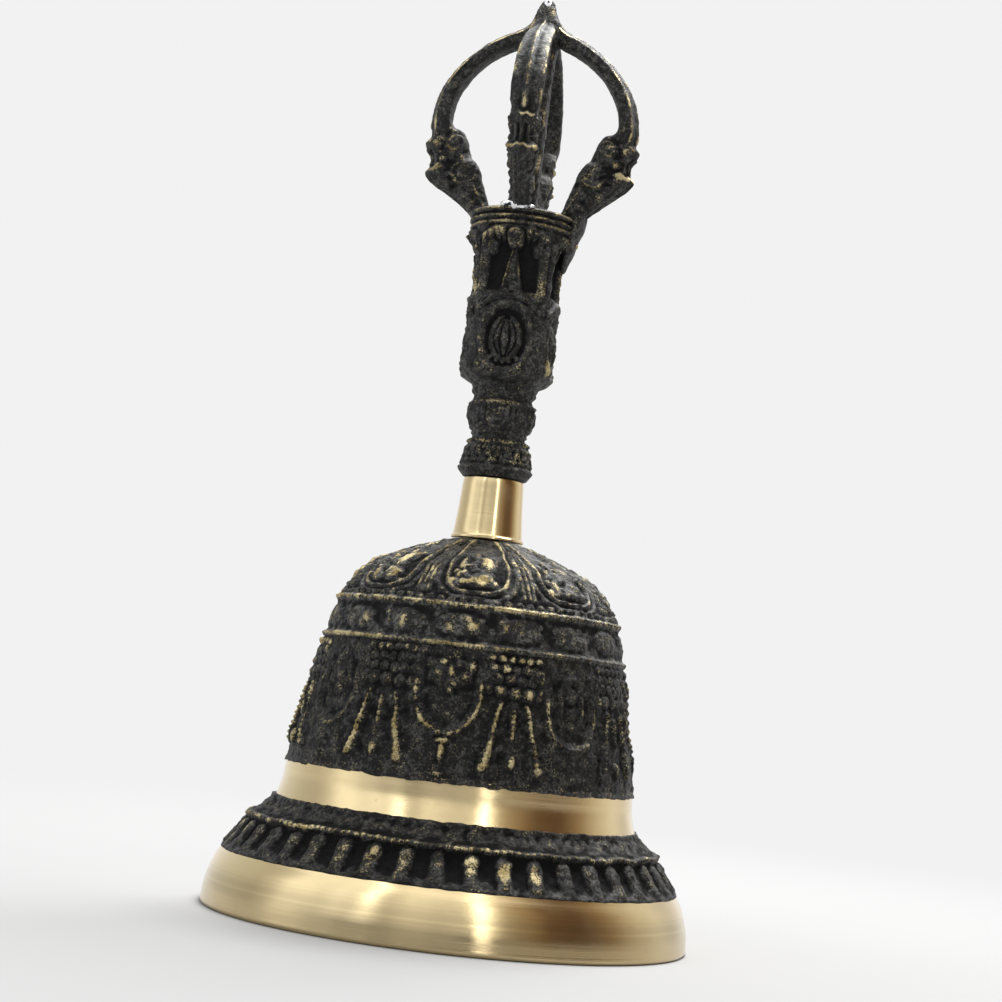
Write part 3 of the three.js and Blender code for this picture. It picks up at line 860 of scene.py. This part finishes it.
def grip():
    sections = grip_sections()
    z = np.linspace(GRIP_LOW_Z, GRIP_HIGH_Z, 230)
    half = np.interp(z, sections[:, 0], sections[:, 1])
    half = np.convolve(np.pad(half, 2, mode="edge"), [0.1, 0.24, 0.32, 0.24, 0.1], mode="valid")
    square = np.interp(z, sections[:, 0], sections[:, 2])[:, None]
    azimuth = all_round(320)
    a, z2 = np.broadcast_arrays(azimuth[None, :], z[:, None])
    radius = squared(a, half[:, None], square)
    x = arc_from(a, 360 / FACE_COUNT, radius)
    body = between(z2, 99.6, 100.6, 128.0, 128.4)
    height = grip_face(x, z2) * body + grip_rings(a, radius, z2) * (1 - body)
    plain = polar(radius, a, z2)
    height = height + cast_grain(plain, 61) + 0.18 * grain(plain, 1.5, 64) * body
    wear_and_shade = rubbed(height, plain, 67, low=0.10, high=0.9)
    rims = highest(*[ridge(z2 - level, 0.28, 0.9) for level in (88.4, 95.9, 128.8, 130.05, 131.3)])
    rims = rims + 0.9 * np.clip(height, 0, 1) * between(z2, 84.2, 84.8, 87.6, 88.2)
    held = knobs(
        x, z2, (6.0, 117.6, 2.6, 3.4, 0.6), (-4.5, 126.5, 3.2, 2.2, 0.25), (-4.0, 103.0, 1.5, 1.9, 0.9),
    )
    # Deep niches are pushed below zero as well, so that they are painted as shade.
    wear_and_shade = wear_and_shade + (rims + held * body) * (0.55 + 0.9 * grain(plain, 2.2, 69)) - smooth(-height, 0.5, 1.1)
    outer = polar(radius + height - 0.2, a, z2)
    top = [polar(share * (radius[-1] + height[-1] - 0.2), azimuth, GRIP_HIGH_Z + lift)
           for share, lift in ((0.985, 0.12), (0.93, 0.1), (0.6, -0.05), (0.2, -0.1))]
    grid = np.concatenate([outer, np.stack(top)])
    shell_object("grip", [skin(grid)], handle_patina, ["handle_grip"], wear_and_shade)


# ---- prongs and spike ----

def prong_edges(rows, drop):
    """Outer and inner edge as (radius, z), and half the width across, from the foot to the tip.
    The head's mouldings sit drop lower than on a regular prong."""
    table = np.array([
        (10.4, 131.3, 6.2, 131.3, 1.75), (12.3, 133.1, 7.1, 134.0, 1.75), (15.1, 135.4, 7.9, 136.6, 1.8),
        (17.3, 137.2, 8.7, 139.2, 1.9), (18.9, 138.6, 9.3, 141.2, 2.1), (19.5, 140.0, 10.2, 142.6, 2.3),
        (18.9, 141.4, 11.2, 143.6, 2.0), (18.8, 143.0, 11.8, 145.2, 1.95), (19.8, 144.4, 12.2, 146.6, 2.15),
        (20.0, 145.8, 13.2, 148.2, 2.4), (19.4, 147.0, 15.0, 148.8, 2.5), (19.5, 148.8, 15.8, 149.9, 2.85),
        (19.2, 151.4, 15.7, 151.6, 3.0), (18.5, 154.4, 15.1, 154.2, 3.0), (17.0, 157.6, 13.9, 156.7, 2.95),
        (14.5, 161.0, 12.0, 159.4, 2.85), (11.0, 164.2, 9.2, 162.0, 2.7), (7.2, 166.6, 6.2, 163.8, 2.5),
        (4.0, 168.2, 3.4, 165.0, 2.3), (1.8, 170.6, 1.2, 166.4, 1.6),
    ])
    for column in (1, 3):
        z = table[:, column]
        table[:, column] = z - drop * between(z, 133, 139, 147, 153)
    return through(table, rows)


def prong_outline(columns):
    """Round the section: share of the way from outer to inner edge, and share of the half-width."""
    side = [
        (0.0, 0.0), (0.06, 0.30), (0.16, 0.72), (0.28, 0.97), (0.55, 1.0), (0.80, 0.93), (0.95, 0.70),
        (1.0, 0.0),
    ]
    right = through(side, columns // 2 + 1)
    left = right[::-1][1:-1] * (1, -1)
    return np.vstack([right, left])


def prong_relief(radius, z, share):
    """The sea-monster head that each prong grows from, as it shows on the prong's two flat sides."""
    where = np.stack([radius, 0 * radius, z], axis=-1)
    radius = radius + 0.3 * grain(where, 2.6, 241)
    z = z + 0.3 * grain(where, 2.6, 242)
    stem_run = (z - 133) * 0.75 + (radius - 9) * 0.55
    scales = 0.13 * (1 + np.cos(2 * np.pi * stem_run / 1.7)) * (1 - smooth(z, 140.0, 141.5))
    curl_x, curl_z = radius - 14.3, z - 145.2
    turn = np.arctan2(curl_z, curl_x)
    curl = ridge(np.hypot(curl_x, curl_z) - 1.3 - 0.25 * turn, 0.38, 0.6)
    jaw_turn = np.arctan2(z - 140.4, radius - 12.6)
    jaw = ridge(np.hypot(radius - 12.6, z - 140.4) - 1.7 + 0.3 * jaw_turn, 0.42, 0.55)
    head = highest(
        curl,
        jaw,
        knobs(radius, z, (14.2, 145.3, 2.3, 2.3, 0.45), (11.8, 140.6, 2.1, 2.6, 0.4)),
        knobs(radius, z, (17.7, 141.0, 1.3, 1.1, 0.55), (18.0, 144.8, 1.1, 1.1, 0.45)),
        knobs(radius, z, (15.6, 137.9, 1.6, 1.0, 0.45), (16.2, 142.6, 1.0, 0.7, 0.5)),
        ridge((z - 142.9) - 0.45 * (radius - 15), 0.35, 0.4) * (radius > 12.0),
        ridge(share - 0.8, 0.06, 0.4),
        scales,
    )
    return 1.35 * head * (1 - smooth(z, 147.6, 149.0)) * smooth(z, 131.8, 133.0)


def prong_mouldings(radius, head_z, across, facing):
    """Height of the soft rings round a prong's head, and of the scalloped rims on them."""
    outside = smooth(radius, 15.0, 17.0)
    scalloped = head_z + 0.2 * np.cos(across * 3.2 * np.pi)
    rims = (ridge(scalloped - 146.3, 0.32, 1.0) + ridge(scalloped - 140.7, 0.32, 1.0)) * outside
    rims = rims * (1 - 0.75 * facing)
    rings = (ridge(head_z - 145.8, 1.1, 0.3) + ridge(head_z - 140.2, 1.1, 0.35)) * outside
    return rings + 0.12 * rims, rims


def prong_grooves(radius, head_z, across):
    """Grooves along a prong, between its rings and fainter on its shaft."""
    neck = 0.3 * np.cos(across * 3.2 * np.pi) * smooth(radius, 15.0, 17.0)
    neck = neck * between(head_z, 141.2, 141.8, 144.2, 144.8)
    shaft = 0.12 * np.cos(across * 4 * np.pi) * smooth(radius, 10.5, 12) * (1 - smooth(head_z, 138.2, 139.2))
    return neck + shaft


def prong_root():
    """The run of metal that flows from a prong's foot down the side of the collar."""
    path = through([
        (10.3, 0, 132.6), (10.1, 0, 130.6), (9.35, 0, 128.2), (8.9, 0, 125.4), (8.2, 0, 122.0),
    ], 40)
    swell = through([(1.5, 0), (1.45, 1), (1.25, 2), (1.0, 3), (0.5, 4)], 40)[:, 0]
    flow = tube(path, swell, 48, closed=False) * (1, 2.7, 1)
    return skin(flow + 0.25 * grain(flow, 1.2, 91)[..., None] * (1, 0, 0))


def prong(name, turns, breadth=1.0, drop=0.0, root=False):
    """One curved prong, turned by quarter turns. breadth scales its width, and drop lowers its head."""
    edges = prong_edges(260, drop)
    outline = prong_outline(72)
    outer, inner, half = edges[:, None, 0:2], edges[:, None, 2:4], edges[:, None, 4] * breadth
    share, across = outline[None, :, 0:1], outline[None, :, 1]
    place = outer + (inner - outer) * share
    width = half * across
    radius, z = place[..., 0], place[..., 1]
    head_z = z + drop
    outward = place - place.mean(axis=1, keepdims=True)
    outward /= np.linalg.norm(outward, axis=-1, keepdims=True)
    plain = np.stack([radius, width, z], axis=-1)
    facing = smooth(np.abs(across), 0.6, 0.98)
    lower = 1 - smooth(head_z, 146, 149)
    rings, rims = prong_mouldings(radius, head_z, across, facing)
    crest = ridge(across, 0.16, 0.35) * (share[..., 0] < 0.3) * smooth(z, 147, 148)
    lumps = prong_relief(radius, head_z, share[..., 0]) * facing
    rough = cast_grain(plain, 71 + 4 * turns) * (0.4 + 0.6 * lower * facing)
    rough = rough + 0.2 * grain(plain, 1.3, 88 + turns) * lower * facing
    height = rings + crest + prong_grooves(radius, head_z, across) * (1 - facing) + rough
    corner = ridge(share[..., 0] - 0.25, 0.07, 0.9) * (1 - lower)
    corner = corner * (0.5 + 0.9 * grain(plain, 2.5, 87 + turns))
    worn_rims = rims * (0.8 + 0.9 * grain(plain, 1.2, 89))
    worn_crest = crest * (1.6 + 1.6 * grain(plain, 1.5, 90))
    worn_height = height + lumps + rings + worn_rims + worn_crest + corner
    wear_and_shade = rubbed(worn_height, plain, 75 + turns, low=0.08, high=0.7) + 0.7 * corner
    place = place + outward * height[..., None] * (1 - facing)[..., None]
    width = width + np.sign(width) * (lumps + facing * (rough + 0.6 * rings))
    parts = [skin(np.stack([place[..., 0], width, place[..., 1]], axis=-1))]
    if root:
        parts.append(prong_root())
    turn = np.array(Matrix.Rotation(turns * math.pi / 2, 3, "Z")).T
    parts = [(points @ turn, faces) for points, faces in parts]
    shell_object(name, parts, handle_patina, [name.replace("_cast", "")], wear_and_shade)


def highlight_braze_bead(name, centre, size, seed):
    """A lumpy bead of bright solder half sunk into the casting, also placed as a painted highlight where
    glints fall.
    """
    steps = np.linspace(-90, 90, 24)[1:-1, None]
    ball = polar(np.cos(np.radians(steps)), all_round(36)[None, :], np.sin(np.radians(steps)))
    lumpy = ball * size * (1 + 0.3 * grain(ball * size, 0.9, seed)[..., None])
    shell_object(name, [skin(lumpy + centre)], highlight_braze, [])


def centre_spike():
    """A square bar up the axis, ending in a lumpy four-sided point."""
    stations = through([
        (131.2, 2.5), (133, 2.2), (140, 2.15), (150, 2.2), (158, 2.2), (162, 2.4), (165, 2.8), (167.5, 3.0),
        (169.5, 2.6), (171.5, 1.9), (173.2, 1.3), (TIP_Z - 0.25, 0.75), (TIP_Z, 0.3),
    ], 150)
    a, z, half = np.broadcast_arrays(all_round(48)[None, :], stations[:, :1], stations[:, 1:])
    radius = squared(a, half, 4.5)
    plain = polar(radius, a, z)
    rough = cast_grain(plain, 95) + 0.14 * grain(plain, 1.6, 98) * smooth(z, 163, 166)
    wear_and_shade = smooth(0.5 * grain(plain, 2.2, 96) + 1.2 * (radius / half - 1.12), 0.2, 0.6)
    grid = polar(radius + rough, a, z)
    shell_object("spike", [skin(grid)], handle_patina, ["centre_spike"], wear_and_shade)


# ---- tie rod and clapper ----

def ring_path(radius, z, count=72):
    turn = np.arange(count) * 2 * np.pi / count
    return np.stack([radius * np.cos(turn), 0 * turn, z + radius * np.sin(turn)], axis=1)


def tie_rod():
    wire = 1.1
    eye_radius = box_mm("tie_rod")[1][0] - wire
    eye_z = ROD_LOW_Z + wire + eye_radius
    eye = tube(ring_path(eye_radius, eye_z), wire)
    pitch, depth, middle_radius = 0.8, 0.1, 2.32
    z = np.linspace(eye_z + eye_radius - 0.3, box_mm("tie_rod")[1][2] - 0.5, 420)
    thread = middle_radius + depth * np.cos(2 * np.pi * z / pitch)
    shank = turned(np.stack([thread, z], axis=1), 48)
    shell_object("rod_and_eye", [skin(eye, wrap_rows=True), skin(shank)], iron, ["tie_rod"])


def dressed_cad_node(name, material, chamfer):
    """A CAD node that keeps its shape, with its edges eased."""
    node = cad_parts[name]
    node.data.materials.clear()
    node.data.materials.append(material)
    bevel = node.modifiers.new("eased", "BEVEL")
    bevel.width = chamfer * MM
    bevel.segments = 2
    bevel.limit_method = "ANGLE"


def clapper_link():
    wire = 0.9
    bend = box_mm("clapper_link")[1][1] - wire
    low, high = LINK_LOW_Z + wire + bend, LINK_HIGH_Z - wire - bend
    turn = (np.arange(96) + 0.5) * 2 * np.pi / 96
    z = np.where(turn < np.pi, high, low) + bend * np.sin(turn)
    path = np.stack([0 * turn, bend * np.cos(turn), z], axis=1)
    rows = tube(path, wire * 0.97)
    rows = rows + 0.05 * grain(rows, 0.9, 101)[..., None] * (1, 0, 0)
    shell_object("link", [skin(rows, wrap_rows=True)], iron, ["clapper_link"], body="link")


def clapper_rod():
    wire = 1.0
    loop_radius = box_mm("clapper_rod")[1][0] - wire
    loop_z = CLAPPER_HIGH_Z - wire - loop_radius
    loop = tube(ring_path(loop_radius, loop_z), wire * 0.98)
    foot, top = CLAPPER_LOW_Z, loop_z - loop_radius
    shank = through([
        (1.0, top + 0.5), (1.45, top - 1.2), (1.6, top - 3), (1.6, 30), (1.6, foot + 2.2),
    ], 60)[::-1]
    rivet = [
        (0.6, foot), (2.0, foot + 0.12), (2.7, foot + 0.5), (2.75, foot + 0.9), (2.4, foot + 1.2),
        (1.6, foot + 1.25),
    ]
    stem = turned(np.vstack([rivet, shank]), 40)
    stem = stem * (1 + 0.02 * grain(stem, 1.4, 111)[..., None] * (1, 1, 0))
    parts = [skin(loop, wrap_rows=True), skin(stem)]
    shell_object("clapper_stem", parts, iron, ["clapper_rod"], body="clapper")


def clapper_bob():
    low, high = BOB_LOW_Z, BOB_HIGH_Z
    middle = low + 8.7
    outside = np.vstack([
        (3.0, low), (3.3, low + 0.1),
        through([
            (3.6, low + 0.25), (7.4, middle - 5.2), (BOB_RADIUS, middle), (7.0, middle + 5.4),
            (3.4, high - 2.2),
        ], 60),
        (3.05, high - 1.9), (3.0, high - 0.4), (2.8, high),
    ])
    profile = np.vstack([outside, [(1.9, high), (1.9, low)]])
    grid = turned(profile, 160)
    dents = np.clip(grain(grid, 3.2, 121) - 0.35, 0, 1) * 0.35
    grid = grid * (1 - dents[..., None] / BOB_RADIUS * (1, 1, 0))
    parts = [skin(grid, wrap_rows=True)]
    shell_object("bob", parts, bob_brass, ["clapper_bob"], body="clapper")


# ---- stage, light and camera ----

BACKDROP = 0.887            # linear grey of the backdrop behind the object

PEAK = 1.6                  # linear level of the brightest part of the studio ring

# What the polished metal mirrors all round it: (azimuth, red, green, blue) of a soft studio.
STUDIO_RING = (
    (-180, 0.92, 0.92, 0.94), (-150, 0.90, 0.90, 0.92), (-132, 0.74, 0.76, 0.77), (-112, 0.64, 0.66, 0.66),
    (-96, 0.58, 0.58, 0.57), (-86, 0.78, 0.79, 0.80), (-76, 1.30, 1.33, 1.38), (-64, 1.28, 1.32, 1.36),
    (-56, 1.12, 1.15, 1.18), (-47, 1.30, 1.34, 1.40), (-40, 1.10, 1.12, 1.15), (-35, 1.50, 1.55, 1.60),
    (-29, 1.50, 1.55, 1.60), (-25, 0.82, 0.83, 0.84), (-19, 0.76, 0.76, 0.75), (-13, 1.16, 1.17, 1.17),
    (-3, 1.10, 1.11, 1.11), (5, 0.90, 0.91, 0.91), (20, 0.92, 0.92, 0.91), (34, 0.72, 0.68, 0.60),
    (41, 0.46, 0.39, 0.30), (50, 0.33, 0.24, 0.15), (60, 0.15, 0.09, 0.05), (80, 0.10, 0.055, 0.03),
    (94, 0.28, 0.19, 0.11), (110, 0.64, 0.59, 0.52), (128, 0.90, 0.90, 0.90), (146, 0.72, 0.72, 0.74),
    (164, 1.00, 1.00, 1.02),
)

# Narrow upright lamps in front of the ring: (first and last azimuth, soft edge, lowest height, level).
STRIP_LAMPS = (
    (24.5, 26.8, 0.9, 0.0, 6.0),
    (31.0, 32.2, 0.8, 0.2, 1.6),
    (-33.0, -30.0, 1.8, 0.36, 1.6),
)


def studio_world():
    """A plain pale backdrop for the eye, and a soft studio for the metal to mirror."""
    world = bpy.data.worlds.new("studio")
    bpy.context.scene.world = world
    world.use_nodes = True
    nodes = Nodes(world.node_tree)
    way = nodes.add("TexCoord").outputs["Generated"]
    split = nodes.add("SeparateXYZ", {"Vector": way})
    front = nodes.times(split.outputs["Y"], -1.0)
    azimuth = nodes.math("ARCTAN2", split.outputs["X"], front)
    share = nodes.plus(nodes.times(azimuth, 0.5 / math.pi), 0.5)
    ring = nodes.add("ValToRGB", {"Fac": share})
    for index, (angle, *colour) in enumerate(STUDIO_RING):
        at = 0.5 + angle / 360
        stop = ring.color_ramp.elements[0] if index == 0 else ring.color_ramp.elements.new(at)
        stop.position = at
        stop.color = (*(channel / PEAK for channel in colour), 1)
    last = max(ring.color_ramp.elements, key=lambda stop: stop.position)
    last.position = 1.0
    last.color = ring.color_ramp.elements[0].color
    height = split.outputs["Z"]
    # The floor's and the photographer's side is darker low down in front; a white ceiling is overhead.
    low = nodes.times(nodes.remap(height, 0.08, 0.30, 1.0, 0.0), nodes.remap(front, 0.25, 0.9))
    level = nodes.math("SUBTRACT", PEAK, nodes.times(low, 0.8 * PEAK))
    level = nodes.times(level, nodes.remap(height, -0.6, 0.0, 0.45, 1.0))
    around = nodes.vector("SCALE", {0: ring.outputs["Color"], 3: level})
    degrees = nodes.times(azimuth, 180 / math.pi)
    for first, last, soft, lowest, lamp_level in STRIP_LAMPS:
        past_first = nodes.remap(degrees, first - soft, first)
        before_last = nodes.remap(degrees, last, last + soft, 1.0, 0.0)
        lamp = nodes.times(past_first, before_last)
        lamp = nodes.times(lamp, nodes.remap(height, lowest, lowest + 0.12, 0.0, lamp_level))
        around = nodes.vector("ADD", {0: around, 1: lamp})
    shown = nodes.mix(nodes.remap(height, 0.72, 0.97), around, grey(2.0))
    seen = nodes.add("LightPath").outputs["Is Camera Ray"]
    shown = nodes.mix(seen, shown, grey(BACKDROP))
    background = nodes.add("Background", {"Color": shown, "Strength": 1.0})
    nodes.add("OutputWorld", {"Surface": background.outputs[0]})


def floor():
    """A pale floor that takes the bell's soft shadow and fades into the backdrop further out."""
    material, nodes, place = new_material("pale_floor")
    far = nodes.add("VectorMath", {0: place}, operation="LENGTH").outputs["Value"]
    fade = nodes.remap(far, 0.08, 0.45)
    paper = nodes.add("BsdfDiffuse", {"Color": grey(0.34)})
    glow = nodes.add("Emission", {"Color": grey(BACKDROP), "Strength": 1.0})
    both = nodes.add("MixShader", {0: fade, 1: paper.outputs[0], 2: glow.outputs[0]})
    nodes.add("OutputMaterial", {"Surface": both.outputs[0]})
    mesh = bpy.data.meshes.new("floor")
    reach, gap = 40.0, 0.00005      # metres; the gap keeps the floor clear of the rim
    corners = [(-reach, -reach, 0), (reach, -reach, 0), (reach, reach, 0), (-reach, reach, 0)]
    mesh.from_pydata(corners, [], [(0, 1, 2, 3)])
    mesh.materials.append(material)
    plane = bpy.data.objects.new("floor", mesh)
    plane.location.z = -gap
    bpy.context.scene.collection.objects.link(plane)


def area_light(name, azimuth, elevation, distance, size, watts):
    """A square softbox that looks at the middle of the bell."""
    target = Vector((0, 0, 0.085))
    a, e = math.radians(azimuth), math.radians(elevation)
    way = Vector((math.sin(a) * math.cos(e), -math.cos(a) * math.cos(e), math.sin(e)))
    data = bpy.data.lights.new(name, "AREA")
    data.shape = "SQUARE"
    data.size = size
    data.energy = watts
    lamp = bpy.data.objects.new(name, data)
    lamp.location = target + way * distance
    lamp.rotation_euler = way.to_track_quat("Z", "Y").to_euler()
    bpy.context.scene.collection.objects.link(lamp)


def camera():
    """The photographer's view: from a little above the rim, looking up and rolled a few degrees."""
    azimuth, distance, height = math.radians(7.0), 0.3784, 0.0414
    yaw, pitch, roll = (math.radians(angle) for angle in (0.265, 5.541, 6.570))
    forward = Vector((math.sin(yaw) * math.cos(pitch), math.cos(yaw) * math.cos(pitch), math.sin(pitch)))
    right = Vector((math.cos(yaw), -math.sin(yaw), 0))
    up = right.cross(forward)
    across = right * math.cos(roll) + up * math.sin(roll)
    over = up * math.cos(roll) - right * math.sin(roll)
    turn = Matrix((across, over, -forward)).transposed()
    spin = Matrix.Rotation(azimuth, 3, "Z")
    data = bpy.data.cameras.new("camera")
    data.lens = 73.54
    data.sensor_width = 36.0
    data.clip_start = 0.01
    data.clip_end = 100.0
    eye = bpy.data.objects.new("camera", data)
    eye.matrix_world = Matrix.Translation(spin @ Vector((0, -distance, height))) @ (spin @ turn).to_4x4()
    bpy.context.scene.collection.objects.link(eye)
    bpy.context.scene.camera = eye


# ---- the bell ----

camera()
cup_liner()
cup_frieze()
cup_dome()
cup_flutes()
cup_band()
cup_lip()
neck_ferrule()
grip()
prong("prong_right_cast", 0, root=True)
prong("prong_back_cast", 1, breadth=1.12)
prong("prong_left_cast", 2, drop=1.2)
prong("prong_front_cast", 3)
centre_spike()
# Bright solder beads at the front prong's foot and at the tip: partly braze, partly painted highlight.
highlight_braze_bead("highlight_braze_front", (-0.9, -9.9, 131.75), (2.1, 0.9, 0.75), 301)
highlight_braze_bead("highlight_braze_side", (1.7, -9.8, 131.6), (1.2, 0.8, 0.5), 302)
highlight_braze_bead("highlight_braze_tip", (0.1, -1.0, 172.9), (0.85, 0.55, 1.1), 303)
tie_rod()
clapper_link()
clapper_rod()
clapper_bob()
dressed_cad_node("crown_nut", iron, 0.35)
dressed_cad_node("crown_washer", iron, 0.3)
studio_world()
floor()
area_light("top", 160, 66, 0.8, 0.4, 13)
bpy.context.scene.view_settings.view_transform = "Standard"
